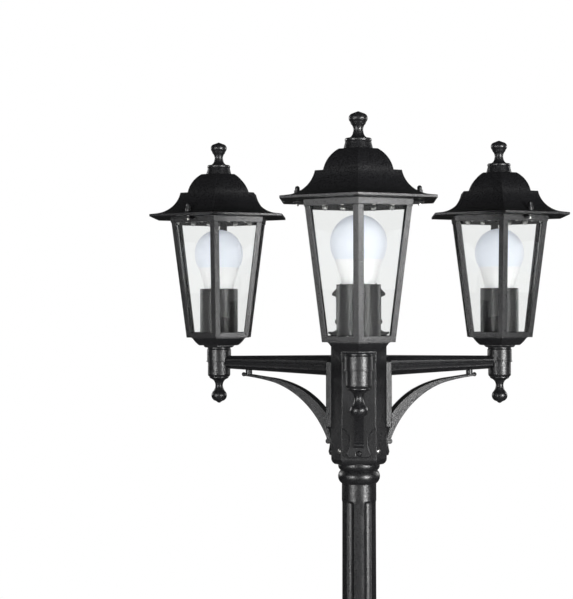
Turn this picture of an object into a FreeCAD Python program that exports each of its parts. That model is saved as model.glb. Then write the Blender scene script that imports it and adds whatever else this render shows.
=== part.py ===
"""Triple head lamp post: a fluted post on a bell foot that carries three six-sided lanterns on arms.

Millimetres, +Z up. The origin is the centre of the foot's underside, on the post's axis.
Every lantern and its arm is shaped once at the front, towards -Y, and turned about the post's axis.
"""

import FreeCAD, Part
import os
from math import atan2, cos, pi, radians, sin, sqrt, tan

# --- driving dimensions, mm ---------------------------------------------------------------

ARM_TURNS = {"front": 0.0, "right": 120.0, "left": 240.0}  # degrees about the post's axis
ARM_REACH = 206.0  # post axis to lantern axis
SLIP_FIT = 0.1  # radial clearance between a spigot and its socket
LIFT_GAP = 0.3  # clearance between pieces that move apart

# Pedestal
FOOT_CORNER = 118.5
FOOT_THICK = 13.0
FOOT_BEVEL = 3.0
ANCHOR_CIRCLE = 102.0
ANCHOR_HOLE = 5.0
ANCHOR_COUNT = 3
BELL_FOOT_CORNER = 93.0
BELL_TOP_CORNER = 54.5
BELL_HEIGHT = 82.0
BELL_CURVE = 1.35  # power of the flare
BELL_BULGE = 2.5  # how far each face swells
BELL_WALL = 5.0
COLLAR_RADIUS = 55.0
COLLAR_HEIGHT = 33.0
COLLAR_ROLL = 9.0  # depth of the groove behind the rolled rim
CABLE_BORE = 11.0

# Lower post
NECK_RADIUS = 35.5
NECK_GROOVE = 2.0
BEAD_RADIUS = 38.5
BEAD_HEIGHT = 7.0
BEAD_LIFT = 18.0  # seat of the post to the foot of the first bead
LOWER_FOOT_RADIUS = 34.5
LOWER_TOP_RADIUS = 23.7
LOWER_HEIGHT = 512.0  # above the beads
POST_WALL = 4.5
SPIGOT_LENGTH = 24.0

# Flutes
FLUTE_COUNT = 6
FLUTE_HALF_ANGLE = 14.0  # degrees
FLUTE_DEPTH = 2.2
FLUTE_END_ROUND = 3.0
LOWER_FLUTE_FOOT = 48.0  # plain length below the flutes
LOWER_FLUTE_TOP = 16.0  # plain length above them
UPPER_FLUTE_FOOT = 20.0
UPPER_FLUTE_TOP = 20.0

# Knuckle between the posts
RING_RADIUS = 26.2
RING_HEIGHT = 13.0
BALL_RADIUS = 29.2
BALL_HEIGHT = 35.0
BALL_NECK = 24.6
KNUCKLE_BORE = 12.0

# Upper post
UPPER_FOOT_RADIUS = 22.2
UPPER_TOP_RADIUS = 20.8
UPPER_HEIGHT = 539.0
UPPER_COVE = 8.0
TOP_BEAD_RADIUS = 25.3
TOP_BEAD_HEIGHT = 16.0

# Column head: a hexagon with wide faces for the arms and narrow faces between them
HEAD_WIDE_FACE = 26.7  # axis to a wide face
HEAD_NARROW_FACE = 31.3  # axis to a narrow face
HEAD_WALL = 3.5
HEAD_FOOT_HEIGHT = 15.0
HEAD_FOOT_RING = 24.9
HEAD_NECK = 22.2
HEAD_BODY_HEIGHT = 146.0
HEAD_LEDGE = 1.2
CROWN_LEDGE = 2.6
CROWN_HEIGHT = 6.0

# Column cap
CAP_NECK = 20.0  # axis to a wide face, as are the next three
CAP_BEAD = 22.8
CAP_DRUM = 21.7
CAP_EAVES = 25.6
CAP_NECK_HEIGHT = 8.0
CAP_BEAD_HEIGHT = 7.0
CAP_DRUM_HEIGHT = 29.0
CAP_EAVES_EDGE = 2.5
CAP_ROOF_HEIGHT = 28.0
CAP_TOP = 7.0
CAP_WALL = 3.0
FINIAL_SEAT = 2.0
FINIAL_NECK = 4.2
FINIAL_BALL = 9.0
FINIAL_HEIGHT = 39.5

# Arm
ARM_RISE = 112.3  # foot of the head's body to the axis of the arm's bore
ARM_ROOT_RADIUS = 12.9
ARM_ROOT_DROP = 1.8  # the tube's middle below the bore, at the root
ARM_TIP_RADIUS = 7.8
ARM_FLUTES = 12
ARM_FLUTE_DEPTH = 0.7
ARM_BORE = 5.0
FACE_PLATE_THICK = 8.0
FACE_PLATE_HALF = 20.5
FACE_PLATE_WAIST = 11.3
FACE_PLATE_TOE = 14.9
FACE_PLATE_TOE_SLANT = 2.4  # how far the toe's lower corners are cut in
FACE_PLATE_TOE_RISE = 4.6  # foot to the toe's widest place
FACE_PLATE_ARCH = 9.0
FACE_PLATE_SHOULDER = 3.0  # above the arm's axis
FACE_PLATE_NARROWS = 75.0  # below the arm's axis, as are the next two
FACE_PLATE_WAIST_DROP = 92.7
FACE_PLATE_FOOT_DROP = 110.0
FACE_PLATE_BEVEL = 1.0
HUB_RADIUS = 15.3
HUB_RISE = 16.9  # arm axis to the hub's top
HUB_EDGE = 1.2
HUB_SEAM = 1.6  # height of the raised seam
HUB_SEAM_PROUD = 0.7
HUB_CUP_INSET = 1.0
HUB_CUP_HEIGHT = 18.7
HUB_CUP_FOOT = 12.6
HUB_CUP_ROUND = 3.2
NIPPLE_RADIUS = 4.9

# Drop finial; its levels are measured down from the cup
DROP_FLANGE = 12.2
DROP_FLANGE_EDGE = 1.2
DROP_NECK = 4.8
DROP_NECK_DROP = 10.8
DROP_SWELL_DROP = 18.5
DROP_BALL = 9.8
DROP_BALL_DROP = 25.2
DROP_HEEL_DROP = 30.7
DROP_TIP = 3.2
DROP_HEIGHT = 33.7

# Brace, measured out from the face plate and down from the arm's axis
BRACE_WIDTH = 11.5
BRACE_FOOT = -97.0
BRACE_HEEL = (5.7, -93.9)
BRACE_HEEL_ROUND = 3.3
BRACE_BELLY_FOOT = (8.0, -88.8)
BRACE_BELLY = (36.8, -50.1)
BRACE_BELLY_TOP = (83.9, -24.1)
BRACE_UNDERSIDE = (105.0, -19.9)
BRACE_TIP = (131.0, -16.8)
BRACE_BACK_ROOT = -72.5
BRACE_BACK_LOW = (20.3, -48.2)
BRACE_BACK_MIDDLE = (43.4, -32.2)
BRACE_BACK_HIGH = (66.8, -23.3)
BRACE_BACK_END = (96.4, -18.0)
BRACE_BACK_TIP = -14.0
BRACE_PEG_REACH = 125.3
BRACE_PEG_RADIUS = 4.1
BRACE_KNOB = (133.0, -15.1)
BRACE_KNOB_RADIUS = 2.7

# Lantern
CAGE_HEIGHT = 152.0
CAGE_FOOT_CORNER = 45.3
CAGE_TOP_CORNER = 66.8
CAGE_WALL = 2.0
CAGE_FLANGE = 6.4
CAGE_RAIL = 6.5
CAGE_TOP_RAIL = 6.9
CAGE_LIP = 2.5
CAGE_LIP_OPENING = 31.5
CAGE_RIDGE = 0.8
EAR_WIDTH = 9.0
EAR_THICK = 3.0
PANE_THICK = 2.5
PANE_GAP = 0.15
PANE_SIDE = 1.0  # between the edges of neighbouring panes, either side of a corner
PANE_TOP_DROP = 2.0
BASE_TOP_CORNER = 38.2
BASE_EDGE = 1.0
BASE_CURVE_CORNER = 27.9
BASE_CURVE_HEIGHT = 10.0
BASE_STEP_CORNER = 21.4
BASE_STEP_SLANT = 2.0
BASE_STEP_HEIGHT = 2.8
BASE_STEM_HEIGHT = 1.7
BASE_STEM_INSET = 0.6  # from the hub's side
BASE_FLOOR_THICK = 2.5
SLEEVE_RADIUS = 23.5
SLEEVE_HEIGHT = 62.0
SLEEVE_WALL = 1.3

# Lampholder and bulb
SOCKET_RADIUS = 19.5
SOCKET_HEIGHT = 52.0
SOCKET_FLOOR = 25.2
SOCKET_WAIST = 16.5
SOCKET_FLARE = 4.0
SOCKET_EDGE = 2.0
CAP_SHELL_RADIUS = 13.1
CAP_SHELL_HEIGHT = 24.0
CONTACT_RADIUS = 4.5
CONTACT_HEIGHT = 3.5
CONTACT_EDGE = 1.2
SHELL_ROUND = 2.2
BULB_RADIUS = 30.0
BULB_WALL = 1.5
BULB_RIM_RADIUS = 25.0
BULB_RIM_DROP = 18.8
BULB_NECK_RADIUS = 17.4
BULB_NECK_DROP = 47.0
BULB_HEEL_RADIUS = 14.5
BULB_HEEL_DROP = 54.5

# Roof
BRIM_CORNER = 96.0
BRIM_EDGE = 2.8
SKIRT_FOOT_CORNER = 88.0
SKIRT_FOOT_RISE = 3.8
SKIRT_BELLY_CORNER = 66.5
SKIRT_BELLY_RISE = 11.8
SKIRT_TOP_CORNER = 53.5
SKIRT_RISE = 31.0
DOME_FOOT_CORNER = 43.7
DOME_SHOULDER_CORNER = 37.3
DOME_SHOULDER_RISE = 13.7
DOME_TOP_CORNER = 24.2
DOME_RISE = 24.5
ROOF_WALL = 3.0
ROOF_COLLAR_FOOT = 16.2
ROOF_COLLAR_TOP = 14.1
ROOF_COLLAR_HEIGHT = 8.5
ROOF_FLANGE = 14.6
ROOF_FLANGE_HEIGHT = 3.6
ROOF_FINIAL_NECK = 5.4
ROOF_FINIAL_BALL = 10.3
ROOF_FINIAL_HEIGHT = 33.0

# Fasteners
STUD_CIRCLE = 66.0
STUD_RADIUS = 1.6
STUD_LENGTH = 18.2
STUD_TAIL = 2.0
BOSS_RADIUS = 4.2
BOSS_HEIGHT = 8.6  # above the brim's underside, which clears the skirt
CAP_NUT_CORNER = 3.9
CAP_NUT_SKIRT = 2.9
CAP_NUT_DOME = 2.6
CAP_NUT_BODY = 5.2  # foot of the nut to the foot of its dome
SCREW_HEAD_RADIUS = 3.2
SCREW_HEAD_HEIGHT = 1.8
SCREW_SHANK_RADIUS = 1.6
SCREW_SHANK = 3.0
SCREW_SLOT = 0.9
POST_SCREW_TURNS = (-33.0, 33.0, 147.0, 213.0)
POST_SCREW_LIFT = 22.0
HEAD_SCREW_RISE = 9.3  # above the foot of the head's body
HEAD_SCREW_ASIDE = 7.8  # from the middle of a narrow face
PLATE_SCREW_RISE = 4.8  # above the foot of a face plate
PLATE_SCREW_SINK = 2.0
PLATE_SCREW_ROOM = 3.9
TERMINAL_LENGTH = 26.0
TERMINAL_DEPTH = 11.0
TERMINAL_HEIGHT = 14.0
TERMINAL_POLES = 3
TERMINAL_HOLE = 1.6

# --- levels and places worked out from them ------------------------------------------------

HALF_SIDE = tan(radians(30))  # half a hexagon's side per unit of its apothem
APOTHEM = cos(radians(30))  # a hexagon's apothem per unit of its corner radius

BELL_TOP = FOOT_THICK + BELL_HEIGHT
COLLAR_TOP = BELL_TOP + COLLAR_HEIGHT
POST_SEAT = COLLAR_TOP - COLLAR_ROLL
BEAD_FOOT = POST_SEAT + BEAD_LIFT
LOWER_FOOT = BEAD_FOOT + 2 * BEAD_HEIGHT
LOWER_TOP = LOWER_FOOT + LOWER_HEIGHT
BALL_FOOT = LOWER_TOP + RING_HEIGHT
BALL_TOP = BALL_FOOT + BALL_HEIGHT
UPPER_FOOT = BALL_TOP + RING_HEIGHT
UPPER_TOP = UPPER_FOOT + UPPER_HEIGHT
HEAD_FOOT = UPPER_TOP + TOP_BEAD_HEIGHT
BODY_FOOT = HEAD_FOOT + HEAD_FOOT_HEIGHT
BODY_TOP = BODY_FOOT + HEAD_BODY_HEIGHT
CROWN_TOP = BODY_TOP + CROWN_HEIGHT
DRUM_FOOT = CROWN_TOP + CAP_NECK_HEIGHT + CAP_BEAD_HEIGHT
EAVES_LEVEL = DRUM_FOOT + CAP_DRUM_HEIGHT
CAP_PEAK = EAVES_LEVEL + CAP_EAVES_EDGE + CAP_ROOF_HEIGHT
PLATE_FACE = HEAD_WIDE_FACE + FACE_PLATE_THICK
ARM_LEVEL = BODY_FOOT + ARM_RISE
HUB_TOP = ARM_LEVEL + HUB_RISE
CUP_FOOT = ARM_LEVEL - HUB_CUP_HEIGHT
LANTERN_FLOOR = HUB_TOP + BASE_STEM_HEIGHT + BASE_STEP_HEIGHT + BASE_CURVE_HEIGHT
CAGE_TOP = LANTERN_FLOOR + CAGE_HEIGHT
BRIM_FOOT = CAGE_TOP + LIFT_GAP
CAGE_LEAN = (CAGE_TOP_CORNER - CAGE_FOOT_CORNER) / CAGE_HEIGHT
SOCKET_TOP = LANTERN_FLOOR + SOCKET_HEIGHT
CAP_SHELL_FOOT = LANTERN_FLOOR + SOCKET_FLOOR + CONTACT_HEIGHT + LIFT_GAP
BULB_HEEL = CAP_SHELL_FOOT + CAP_SHELL_HEIGHT
BULB_TOP = BULB_HEEL + BULB_HEEL_DROP + BULB_RADIUS
BULB_EQUATOR = BULB_TOP - BULB_RADIUS
STUD_FOOT = CAGE_TOP - EAR_THICK - STUD_TAIL
UP = FreeCAD.Vector(0, 0, 1)
ORIGIN = FreeCAD.Vector(0, 0, 0)

# Where the screws sit: distance from the post's axis, level, and for each its turn and its shift aside
POST_SLOPE = (LOWER_TOP_RADIUS - LOWER_FOOT_RADIUS) / LOWER_HEIGHT
POST_SCREW_SEAT = (
    LOWER_FOOT_RADIUS + POST_SLOPE * (POST_SCREW_LIFT - SCREW_HEAD_RADIUS),
    LOWER_FOOT + POST_SCREW_LIFT,
    [(turn, 0.0) for turn in POST_SCREW_TURNS],
)
HEAD_SCREW_SEAT = (
    HEAD_NARROW_FACE,
    BODY_FOOT + HEAD_SCREW_RISE,
    [(60.0, -HEAD_SCREW_ASIDE), (180.0, 0.0), (300.0, HEAD_SCREW_ASIDE)],
)
PLATE_SCREW_SEAT = (
    PLATE_FACE - PLATE_SCREW_SINK,
    ARM_LEVEL - FACE_PLATE_FOOT_DROP + PLATE_SCREW_RISE,
    [(turn, 0.0) for turn in ARM_TURNS.values()],
)


# --- shaping helpers -------------------------------------------------------------------------

def chain(steps, mirror=1.0):
    """Edges in the XZ plane; a step that holds two points is an arc by way of the first."""
    edges = []
    start = FreeCAD.Vector(mirror * steps[0][0], 0, steps[0][1])
    for step in steps[1:]:
        curved = isinstance(step[0], tuple)
        end = step[1] if curved else step
        stop = FreeCAD.Vector(mirror * end[0], 0, end[1])
        if curved:
            middle = FreeCAD.Vector(mirror * step[0][0], 0, step[0][1])
            edges.append(Part.Arc(start, middle, stop).toShape())
        else:
            edges.append(Part.LineSegment(start, stop).toShape())
        start = stop
    return edges


def end_of(step):
    """The point that a step of a chain ends on."""
    return step[1] if isinstance(step[0], tuple) else step


def face_of(edges):
    return Part.Face(Part.Wire(Part.sortEdges(edges)[0]))


def turned(steps):
    """A solid of revolution about Z from an outline that closes on itself."""
    return face_of(chain(steps + [steps[0]])).revolve(ORIGIN, UP, 360)


def domed(radius, foot, height):
    """The step of an outline that closes it with a ball's cap centred on the axis."""
    ball = (radius ** 2 + height ** 2) / (2 * height)
    centre = foot + height - ball
    half_way = atan2(radius, foot - centre) / 2
    return ((ball * sin(half_way), centre + ball * cos(half_way)), (0, foot + height))


def cylinder(radius, foot, top, x=0.0, y=0.0):
    return Part.makeCylinder(radius, top - foot, FreeCAD.Vector(x, y, foot))


def mirrored_slab(steps, reach, left=1.0):
    """A bar along X whose ends follow the outline at +X and, times left, at -X, run along Y."""
    cross = []
    for half, level in (steps[0], end_of(steps[-1])):
        start = FreeCAD.Vector(-left * half, 0, level)
        cross.append(Part.LineSegment(start, FreeCAD.Vector(half, 0, level)).toShape())
    slab = face_of(chain(steps) + chain(steps, -left) + cross).extrude(FreeCAD.Vector(0, 2 * reach, 0))
    slab.translate(FreeCAD.Vector(0, -reach, 0))
    return slab


def scaled(steps, factor):
    """The same outline with its radii multiplied."""
    result = []
    for step in steps:
        if isinstance(step[0], tuple):
            result.append(((step[0][0] * factor, step[0][1]), (step[1][0] * factor, step[1][1])))
        else:
            result.append((step[0] * factor, step[1]))
    return result


def hexagonal(steps):
    """A six-sided solid, one corner to the front, whose corner radius follows the outline."""
    reach = 2 * max(end_of(step)[0] for step in steps)
    slab = mirrored_slab(scaled(steps, APOTHEM), reach)
    solid = slab
    for turn in (60, 120):
        other = slab.copy()
        other.rotate(ORIGIN, UP, turn)
        solid = solid.common(other)
    return solid


def head_shaped(steps):
    """A six-sided solid with its wide faces to the arms; the outline is that of a wide face."""
    ratio = HEAD_NARROW_FACE / HEAD_WIDE_FACE
    reach = 2 * max(end_of(step)[0] for step in steps)
    solid = None
    for turn in ARM_TURNS.values():
        slab = mirrored_slab(steps, reach, ratio)
        slab.rotate(ORIGIN, UP, turn - 90)
        solid = slab if solid is None else solid.common(slab)
    return solid


def around(shape, turns):
    """Copies of a shape turned about the post's axis, as one group of solids."""
    copies = []
    for turn in turns:
        copy = shape.copy()
        copy.rotate(ORIGIN, UP, turn)
        copies.append(copy)
    return Part.makeCompound(copies)


def on_lantern(shape):
    """Moves a piece shaped about Z to the front lantern's axis."""
    shape.translate(FreeCAD.Vector(0, -ARM_REACH, 0))
    return shape


def flute_cutter(foot_radius, foot, top_radius, top):
    """A round bar along the post's slope whose bite has the flutes' depth and width."""
    half_angle = radians(FLUTE_HALF_ANGLE)
    seats = []
    for post_radius in (foot_radius, top_radius):
        half_width = post_radius * sin(half_angle)
        bite = FLUTE_DEPTH - post_radius * (1 - cos(half_angle))
        bar = (half_width ** 2 + bite ** 2) / (2 * bite)
        seats.append((bar, post_radius - FLUTE_DEPTH + bar))
    start = FreeCAD.Vector(0, -seats[0][1], foot)
    way = FreeCAD.Vector(0, -seats[1][1], top) - start
    bar = Part.makeCone(seats[0][0], seats[1][0], way.Length, start, way)
    ends = [edge for edge in bar.Edges if edge.Curve.TypeId == "Part::GeomCircle"]
    return bar.makeFillet(FLUTE_END_ROUND, ends)


def fluted(post, foot_radius, foot, top_radius, top):
    """Cuts the flutes, which stand either side of each arm's direction."""
    cutter = flute_cutter(foot_radius, foot, top_radius, top)
    pitch = 360 / FLUTE_COUNT
    return post.cut(around(cutter, [pitch / 2 + pitch * index for index in range(FLUTE_COUNT)]))


def screw():
    """A pan-head screw along Z, its bearing face at the origin and its head above."""
    body = turned([
        (0, -SCREW_SHANK),
        (SCREW_SHANK_RADIUS, -SCREW_SHANK),
        (SCREW_SHANK_RADIUS, 0),
        (SCREW_HEAD_RADIUS, 0),
        domed(SCREW_HEAD_RADIUS, 0, SCREW_HEAD_HEIGHT),
    ])
    slot = Part.makeBox(2 * SCREW_HEAD_RADIUS, SCREW_SLOT, SCREW_HEAD_HEIGHT)
    slot.translate(FreeCAD.Vector(-SCREW_HEAD_RADIUS, -SCREW_SLOT / 2, SCREW_HEAD_HEIGHT * 0.6))
    return body.cut(slot)


def facing_out(shape, distance, level, aside=0.0):
    """Turns a piece shaped along Z to point out to the front and sets it at a distance."""
    shape.rotate(ORIGIN, FreeCAD.Vector(1, 0, 0), 90)
    shape.translate(FreeCAD.Vector(aside, -distance, level))
    return shape


def at_seat(shape, seat):
    """Copies of a piece shaped along Z at each place of a screw seat."""
    distance, level, places = seat
    copies = []
    for turn, aside in places:
        copy = facing_out(shape.copy(), distance, level, aside)
        copy.rotate(ORIGIN, UP, turn)
        copies.append(copy)
    return Part.makeCompound(copies)


def screw_ways(seat):
    """The holes that a seat's screws go in."""
    return at_seat(cylinder(SCREW_SHANK_RADIUS + SLIP_FIT, -SCREW_SHANK - SLIP_FIT, SCREW_SHANK), seat)


def knob(foot, height, neck, ball):
    """The steps of a turned knob above its flange: waisted neck, small ring and flattened ball."""
    tip = foot + height
    ring = tip - ball * 1.4
    crease = tip - ball * 1.1
    return [
        ((neck * 1.45, foot + height * 0.17), (neck * 1.08, foot + height * 0.3)),
        ((neck, foot + height * 0.39), (ball * 0.7, ring)),
        (ball * 0.74, ring),
        (ball * 0.86, crease),
        ((ball, tip - ball * 0.76), (ball * 0.68, tip - ball * 0.26)),
        (0, tip),
    ]


# --- pedestal and posts ------------------------------------------------------------------------

def bulged_hexagon(corner, level, turn=30.0):
    """A closed wire of six arcs that swell a little past a hexagon's straight sides."""
    edges = []
    for index in range(6):
        angles = [radians(turn - 90 + 60 * index + part) for part in (0, 30, 60)]
        radii = (corner, corner * APOTHEM + BELL_BULGE, corner)
        points = [FreeCAD.Vector(r * cos(a), r * sin(a), level) for r, a in zip(radii, angles)]
        edges.append(Part.Arc(*points).toShape())
    return Part.Wire(edges)


def bell(wall):
    """The flared six-sided bell, drawn in by a wall's thickness."""
    wires = []
    for share in (0, 0.25, 0.5, 0.75, 1):
        corner = BELL_TOP_CORNER + (BELL_FOOT_CORNER - BELL_TOP_CORNER) * (1 - share) ** BELL_CURVE
        wires.append(bulged_hexagon(corner - wall, FOOT_THICK + BELL_HEIGHT * share))
    return Part.makeLoft(wires, True, False)


def pedestal_base():
    plate = hexagonal([
        (FOOT_CORNER, 0),
        (FOOT_CORNER, FOOT_THICK - FOOT_BEVEL),
        (FOOT_CORNER - FOOT_BEVEL, FOOT_THICK),
    ])
    socket = LOWER_FOOT_RADIUS - POST_WALL + SLIP_FIT
    socket_foot = POST_SEAT - SPIGOT_LENGTH
    roll = (COLLAR_RADIUS - NECK_RADIUS) / 2
    collar = turned([
        (CABLE_BORE, socket_foot - BELL_WALL),
        (COLLAR_RADIUS - BELL_WALL, socket_foot - BELL_WALL),
        (COLLAR_RADIUS, BELL_TOP),
        (COLLAR_RADIUS, COLLAR_TOP - roll),
        ((COLLAR_RADIUS - roll * 0.3, COLLAR_TOP - roll * 0.3), (COLLAR_RADIUS - roll, COLLAR_TOP)),
        ((NECK_RADIUS + roll * 0.2, COLLAR_TOP - COLLAR_ROLL * 0.3), (NECK_RADIUS, POST_SEAT)),
        (socket, POST_SEAT),
        (socket, socket_foot),
        (CABLE_BORE, socket_foot),
    ])
    hollow = bell(BELL_WALL)
    pit = cylinder(BELL_FOOT_CORNER * APOTHEM - BELL_WALL, -FOOT_BEVEL, FOOT_THICK)
    throat = cylinder(COLLAR_RADIUS - BELL_WALL, socket_foot - BELL_WALL, BELL_TOP)
    base = plate.fuse(bell(0)).cut(hollow).cut(pit).cut(throat).fuse(collar)
    for index in range(ANCHOR_COUNT):
        angle = radians(90 + index * 360 / ANCHOR_COUNT)
        x = ANCHOR_CIRCLE * cos(angle)
        y = ANCHOR_CIRCLE * sin(angle)
        base = base.cut(cylinder(ANCHOR_HOLE, -FOOT_BEVEL, FOOT_THICK + FOOT_BEVEL, x, y))
    return base.removeSplitter()


def lower_post():
    socket = LOWER_TOP_RADIUS - POST_WALL
    spigot = LOWER_FOOT_RADIUS - POST_WALL
    groove = BEAD_RADIUS - NECK_GROOVE
    post = turned([
        (socket, POST_SEAT - SPIGOT_LENGTH),
        (spigot, POST_SEAT - SPIGOT_LENGTH),
        (spigot, POST_SEAT),
        (NECK_RADIUS, POST_SEAT),
        (NECK_RADIUS, BEAD_FOOT),
        ((BEAD_RADIUS, BEAD_FOOT + BEAD_HEIGHT / 2), (groove, BEAD_FOOT + BEAD_HEIGHT)),
        ((BEAD_RADIUS, BEAD_FOOT + BEAD_HEIGHT * 1.5), (LOWER_FOOT_RADIUS, LOWER_FOOT)),
        (LOWER_TOP_RADIUS, LOWER_TOP),
        (socket, LOWER_TOP),
    ])
    post = post.cut(screw_ways(POST_SCREW_SEAT))
    foot_radius = LOWER_FOOT_RADIUS + POST_SLOPE * LOWER_FLUTE_FOOT
    top_radius = LOWER_TOP_RADIUS - POST_SLOPE * LOWER_FLUTE_TOP
    return fluted(post, foot_radius, LOWER_FOOT + LOWER_FLUTE_FOOT, top_radius, LOWER_TOP - LOWER_FLUTE_TOP)


def post_screws():
    """The screws through the foot of the lower post."""
    return at_seat(screw(), POST_SCREW_SEAT)


def mid_coupler():
    lower_spigot = LOWER_TOP_RADIUS - POST_WALL - SLIP_FIT
    upper_spigot = UPPER_TOP_RADIUS - POST_WALL - SLIP_FIT
    return turned([
        (KNUCKLE_BORE, LOWER_TOP - SPIGOT_LENGTH),
        (lower_spigot, LOWER_TOP - SPIGOT_LENGTH),
        (lower_spigot, LOWER_TOP),
        (LOWER_TOP_RADIUS, LOWER_TOP),
        ((RING_RADIUS, LOWER_TOP + RING_HEIGHT * 0.6), (BALL_NECK, BALL_FOOT)),
        ((BALL_RADIUS, (BALL_FOOT + BALL_TOP) / 2), (BALL_NECK, BALL_TOP)),
        ((RING_RADIUS, BALL_TOP + RING_HEIGHT * 0.4), (UPPER_FOOT_RADIUS, UPPER_FOOT)),
        (upper_spigot, UPPER_FOOT),
        (upper_spigot, UPPER_FOOT + SPIGOT_LENGTH),
        (KNUCKLE_BORE, UPPER_FOOT + SPIGOT_LENGTH),
    ])


def upper_post():
    bore = UPPER_TOP_RADIUS - POST_WALL
    post = turned([
        (bore, UPPER_FOOT),
        (UPPER_FOOT_RADIUS, UPPER_FOOT),
        (UPPER_TOP_RADIUS, UPPER_TOP),
        ((TOP_BEAD_RADIUS, UPPER_TOP + TOP_BEAD_HEIGHT / 2), (HEAD_NECK, HEAD_FOOT)),
        (bore, HEAD_FOOT),
    ])
    slope = (UPPER_TOP_RADIUS - UPPER_FOOT_RADIUS) / UPPER_HEIGHT
    foot_radius = UPPER_FOOT_RADIUS + slope * UPPER_FLUTE_FOOT
    top_radius = UPPER_TOP_RADIUS - slope * UPPER_FLUTE_TOP
    return fluted(post, foot_radius, UPPER_FOOT + UPPER_FLUTE_FOOT, top_radius, UPPER_TOP - UPPER_FLUTE_TOP)


# --- column head -------------------------------------------------------------------------------

def column_head():
    spigot = UPPER_TOP_RADIUS - POST_WALL - SLIP_FIT
    bore = spigot - HEAD_WALL
    ring_top = HEAD_FOOT + HEAD_FOOT_HEIGHT / 2
    crown = HEAD_WIDE_FACE + CROWN_LEDGE
    foot = turned([
        (0, HEAD_FOOT - SPIGOT_LENGTH),
        (spigot, HEAD_FOOT - SPIGOT_LENGTH),
        (spigot, HEAD_FOOT),
        (HEAD_NECK, HEAD_FOOT),
        ((HEAD_FOOT_RING, HEAD_FOOT + HEAD_FOOT_HEIGHT / 4), (HEAD_FOOT_RING, ring_top)),
        (HEAD_FOOT_RING, BODY_FOOT),
        (0, BODY_FOOT),
    ])
    cove = head_shaped([
        (HEAD_WIDE_FACE - HEAD_WALL, ring_top),
        ((HEAD_WIDE_FACE - HEAD_LEDGE, ring_top + HEAD_LEDGE * 2), (HEAD_WIDE_FACE, BODY_FOOT - HEAD_LEDGE)),
        (HEAD_WIDE_FACE, BODY_FOOT),
    ])
    body = head_shaped([
        (HEAD_WIDE_FACE, BODY_FOOT),
        (HEAD_WIDE_FACE, BODY_TOP),
        ((crown - CROWN_LEDGE * 0.7, BODY_TOP + CROWN_HEIGHT * 0.45), (crown, BODY_TOP + CROWN_HEIGHT * 0.6)),
        (crown, CROWN_TOP),
    ])
    hollow = head_shaped([
        (HEAD_WIDE_FACE - HEAD_WALL, BODY_FOOT),
        (HEAD_WIDE_FACE - HEAD_WALL, CROWN_TOP),
    ])
    outlets = around(facing_out(cylinder(ARM_BORE, 0, HEAD_WALL * 2), HEAD_WIDE_FACE - HEAD_WALL * 1.5,
                                ARM_LEVEL), ARM_TURNS.values())
    shell = foot.fuse(cove).fuse(body).cut(hollow).cut(outlets).cut(screw_ways(HEAD_SCREW_SEAT))
    return shell.cut(cylinder(bore, HEAD_FOOT - SPIGOT_LENGTH, BODY_FOOT)).removeSplitter()


def terminal_block():
    """A strip of brass poles in its housing, on the inside of the rear narrow face."""
    wall = (HEAD_WIDE_FACE - HEAD_WALL) * HEAD_NARROW_FACE / HEAD_WIDE_FACE
    foot = BODY_FOOT + HEAD_BODY_HEIGHT / 3
    block = Part.makeBox(TERMINAL_DEPTH, TERMINAL_HEIGHT, TERMINAL_LENGTH)
    block.translate(FreeCAD.Vector(-TERMINAL_DEPTH / 2, wall - TERMINAL_HEIGHT, foot))
    pitch = TERMINAL_LENGTH / TERMINAL_POLES
    for index in range(TERMINAL_POLES):
        level = foot + pitch * (index + 0.5)
        tunnel = Part.makeCylinder(TERMINAL_HOLE, TERMINAL_DEPTH,
                                   FreeCAD.Vector(-TERMINAL_DEPTH / 2, wall - TERMINAL_HEIGHT / 2, level),
                                   FreeCAD.Vector(1, 0, 0))
        groove = Part.makeBox(TERMINAL_DEPTH, TERMINAL_HEIGHT / 4, TERMINAL_HOLE)
        groove.translate(FreeCAD.Vector(-TERMINAL_DEPTH / 2, wall - TERMINAL_HEIGHT, level + pitch / 2
                                        - TERMINAL_HOLE / 2))
        block = block.cut(tunnel)
        if index < TERMINAL_POLES - 1:
            block = block.cut(groove)
    return block


def column_cap():
    bead = CROWN_TOP + CAP_NECK_HEIGHT
    rise = EAVES_LEVEL + CAP_EAVES_EDGE
    outer = head_shaped([
        (HEAD_WIDE_FACE + CROWN_LEDGE / 2, CROWN_TOP),
        ((CAP_NECK + CROWN_LEDGE / 2, CROWN_TOP + CAP_NECK_HEIGHT * 0.35), (CAP_NECK, bead)),
        ((CAP_BEAD, bead + CAP_BEAD_HEIGHT / 2), (CAP_DRUM, DRUM_FOOT)),
        (CAP_DRUM, EAVES_LEVEL - CAP_EAVES_EDGE),
        (CAP_EAVES, EAVES_LEVEL),
        (CAP_EAVES, rise),
        ((CAP_TOP + (CAP_EAVES - CAP_TOP) * 0.56, rise + CAP_ROOF_HEIGHT * 0.4), (CAP_TOP, CAP_PEAK)),
    ])
    hollow = head_shaped([
        (CAP_NECK - CAP_WALL, CROWN_TOP),
        (CAP_NECK - CAP_WALL, EAVES_LEVEL),
        (CAP_TOP, CAP_PEAK - CAP_ROOF_HEIGHT / 2),
    ])
    return outer.cut(hollow)


def column_finial():
    seat = [(0, CAP_PEAK), (CAP_TOP, CAP_PEAK), (CAP_TOP, CAP_PEAK + FINIAL_SEAT)]
    return turned(seat + knob(CAP_PEAK, FINIAL_HEIGHT, FINIAL_NECK, FINIAL_BALL))


def head_screws():
    """One screw low on each narrow face, which together pin the head to the post."""
    return at_seat(screw(), HEAD_SCREW_SEAT)


def plate_screws():
    """One screw through the toe of each face plate."""
    return at_seat(screw(), PLATE_SCREW_SEAT)


# --- arm, hub and brace, shaped at the front ---------------------------------------------------

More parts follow.
